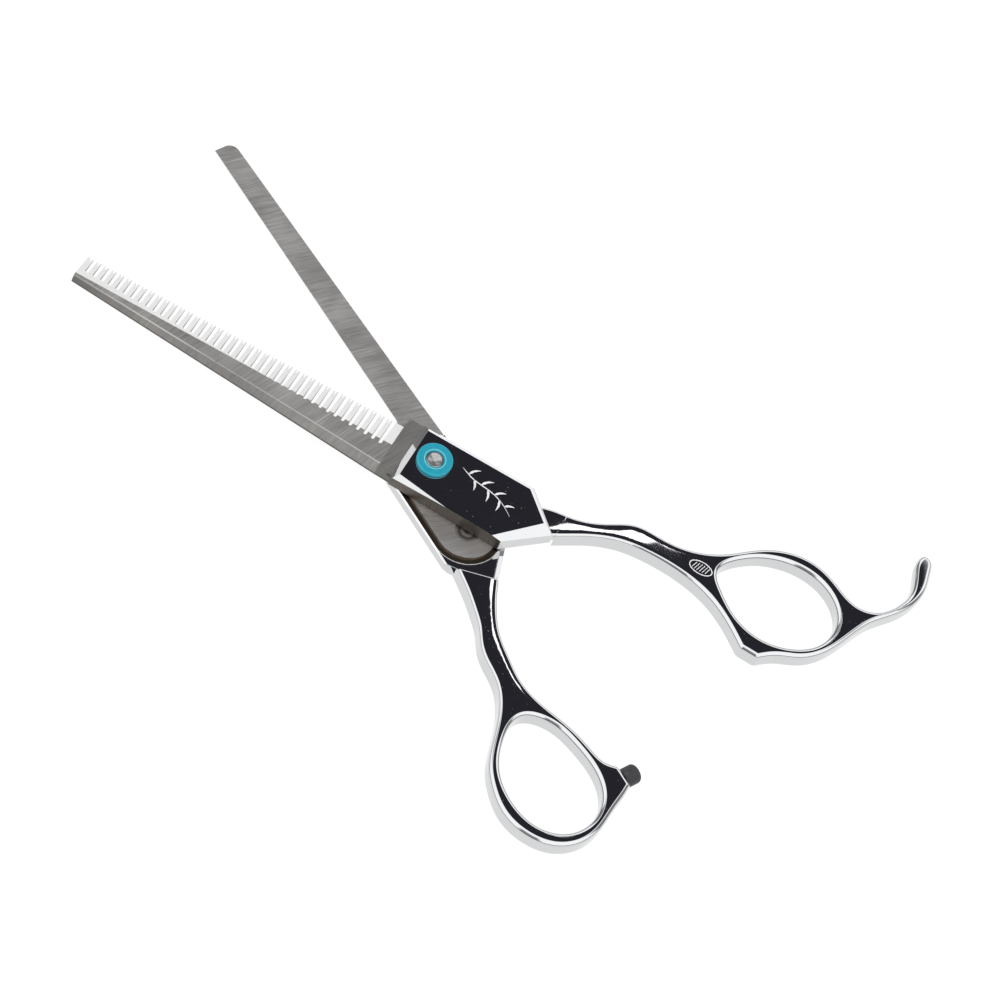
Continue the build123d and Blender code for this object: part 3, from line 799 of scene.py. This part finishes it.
def oval_mark(name, body, x, y, level, long_way, short_way, heading):
    """A small frosted oval with a raised rim and plain hatching, on a handle's top."""
    corners, faces = [], []
    turn = radians(heading)

    def strip(path, width, lift):
        path = np.array(path, float)
        way = np.gradient(path, axis=0)
        way /= np.linalg.norm(way, axis=1)[:, None]
        base = len(corners)
        for p, w in zip(path, way):
            for reach in (-1, -0.5, 0.5, 1):
                qx, qy = p + np.array((-w[1], w[0])) * reach * width
                rise = lift if abs(reach) < 1 else -0.05
                corners.append((x + qx * cos(turn) - qy * sin(turn), y + qx * sin(turn) + qy * cos(turn),
                                level + rise))
        for k in range(len(path) - 1):
            for j in range(3):
                a = base + 4 * k + j
                faces.append((a, a + 4, a + 5, a + 1))

    around = np.linspace(0, 2 * pi, 73)
    strip([(long_way * cos(a), short_way * sin(a)) for a in around], 0.13, 0.03)
    for share in (-0.6, -0.36, -0.12, 0.12, 0.36, 0.6):
        half = 0.66 * short_way * (1 - share ** 2) ** 0.5
        strip([(share * long_way + 0.3 * t * half, t * half) for t in np.linspace(-1, 1, 8)], 0.1, 0.02)
    return add_piece(name, "finger", body, corners, faces, MARK)


oval_mark("oval_mark", "finger_half", 50.0, 10.0, LIMB_HALF_HEIGHT, 2.2, 1.2, 1)

# ------------------------------------------------------------------ pivot
# the nut's lighter ring at radius 1.95 is a painted highlight
nut_metal = turned_metal("blue_nut", (0.010, 0.34, 0.46, 1), 0.36, (0.03, 0.44, 0.56, 1), 0.35, line=1.95)
screw_metal = turned_metal("screw_steel", (0.28, 0.28, 0.28, 1), 0.26, (0.62, 0.62, 0.61, 1))
round_x, round_z = NUT_RADIUS - 0.25, NUT_TOP - 0.25
nut_profile = [(1.63, 2.1), (NUT_RADIUS, 2.1), (NUT_RADIUS, round_z)]
nut_profile += [(round_x + 0.25 * cos(a), round_z + 0.25 * sin(a)) for a in np.linspace(0.15, pi / 2, 7)]
nut_profile += [(2.6, NUT_TOP), (2.0, NUT_TOP), (1.80, NUT_TOP), (1.64, 4.04), (1.63, 2.1)]
lathed("tension_nut_ring", nut_profile, "nut", nut_metal, ["tension_nut"])

for node in ("pivot_screw", "spring_washer", "bumper_stud"):
    carried(node, screw_metal)
for node in ("pivot_bushing", "thrust_washer"):
    carried(node, bushing_plastic())
carried("bumper", bumper_rubber())
# the comb's finish paints shade on the tooth walls and heel plate and a highlight along the spine's edge
carried("comb_blade", ground_steel("comb_steel", radians(-68), comb=True))
# the plain blade's finish paints shade into the sunk stamp
carried("plain_blade", ground_steel("plain_steel", radians(-50), ride=True))

# ------------------------------------------------------------------ studio
def plain(name, colour, strength):
    material = bpy.data.materials.new(name)
    material.use_nodes = True
    shader = material.node_tree.nodes["Principled BSDF"]
    shader.inputs["Base Color"].default_value = colour
    shader.inputs["Roughness"].default_value = 0.9
    shader.inputs["Emission Color"].default_value = (1, 1, 1, 1)
    shader.inputs["Emission Strength"].default_value = strength
    return material


mesh = bpy.data.meshes.new("floor")
floor_corners = [(x, y, -0.0004) for x, y in ((-3, -3), (3, -3), (3, 3), (-3, 3))]
mesh.from_pydata(floor_corners, [], [(0, 1, 2, 3)])
mesh.materials.append(plain("pale_floor", (0.10, 0.10, 0.10, 1), 0.93))
floor = bpy.data.objects.new("floor", mesh)
bpy.context.scene.collection.objects.link(floor)

roll, tilt, along = radians(25.2), radians(30.0), radians(6.7)
run = Vector((cos(along), sin(along), 0))
rise = Vector((-sin(along), cos(along), 0))
up = Vector((0, 0, 1))
back = cos(tilt) * up - sin(tilt) * rise
slant = cos(tilt) * rise + sin(tilt) * up
right = cos(roll) * run + sin(roll) * slant
top = -sin(roll) * run + cos(roll) * slant
look_at = Vector((13.3, 2.0, PARTING))
camera_data = bpy.data.cameras.new("camera")
camera_data.sensor_width = 36
camera_data.lens = 182.6
camera_data.clip_start = 0.05
camera_data.clip_end = 20
camera = bpy.data.objects.new("camera", camera_data)
bpy.context.scene.collection.objects.link(camera)
place = (look_at + 900 * back) * MM
camera.matrix_world = Matrix((
    (right.x, top.x, back.x, place.x), (right.y, top.y, back.y, place.y), (right.z, top.z, back.z, place.z),
    (0, 0, 0, 1)))
bpy.context.scene.camera = camera


def soft_box(name, where, towards, width, height, power):
    data = bpy.data.lights.new(name, "AREA")
    data.shape = "RECTANGLE"
    data.size = width
    data.size_y = height
    data.energy = power
    lamp = bpy.data.objects.new(name, data)
    bpy.context.scene.collection.objects.link(lamp)
    lamp.location = where
    lamp.rotation_euler = (Vector(towards) - Vector(where)).to_track_quat("-Z", "Y").to_euler()


FLAG = (-0.04, 0.497, 0.866)  # where a dark cloth hangs over the table, mirrored in the flat tops
world = bpy.data.worlds.new("studio")
world.use_nodes = True
bpy.context.scene.world = world
sky = Value(world.node_tree, None)
direction = sky.node("ShaderNodeTexCoord").outputs["Generated"]
sides = [Value(world.node_tree, side) for side in sky.node("ShaderNodeSeparateXYZ", {}, i0=direction).outputs]
level = sides[2]
turn_from_flag = sky.node("ShaderNodeVectorMath", {"operation": "DOT_PRODUCT"}, i0=direction, i1=FLAG)
flag = Value(world.node_tree, turn_from_flag.outputs[1]).ramp(cos(radians(23)), cos(radians(14)))
skirt = level.ramp(0.26, 0.12)
azimuth = sky.maths("ARCTAN2", sides[1], sides[0])
# three dark cloths hung round the table
drapes = (3 * azimuth).sine().ramp(0.6, 0.9) * level.ramp(0.95, 0.68)
light = (1 - (1 - flag) * (1 - 0.92 * skirt) * (1 - 0.8 * drapes)).mix(
    (1.45, 1.46, 1.48, 1), (0.028, 0.028, 0.036, 1))
ground = world.node_tree.nodes["Background"]
world.node_tree.links.new(light.socket, ground.inputs["Color"])
ground.inputs["Strength"].default_value = 1.0

soft_box("window", (0.010, 0.352, 0.6), (0.010, 0.352, 0.0), 0.022, 0.070, 0.0100)

bpy.context.scene.view_settings.view_transform = "Standard"
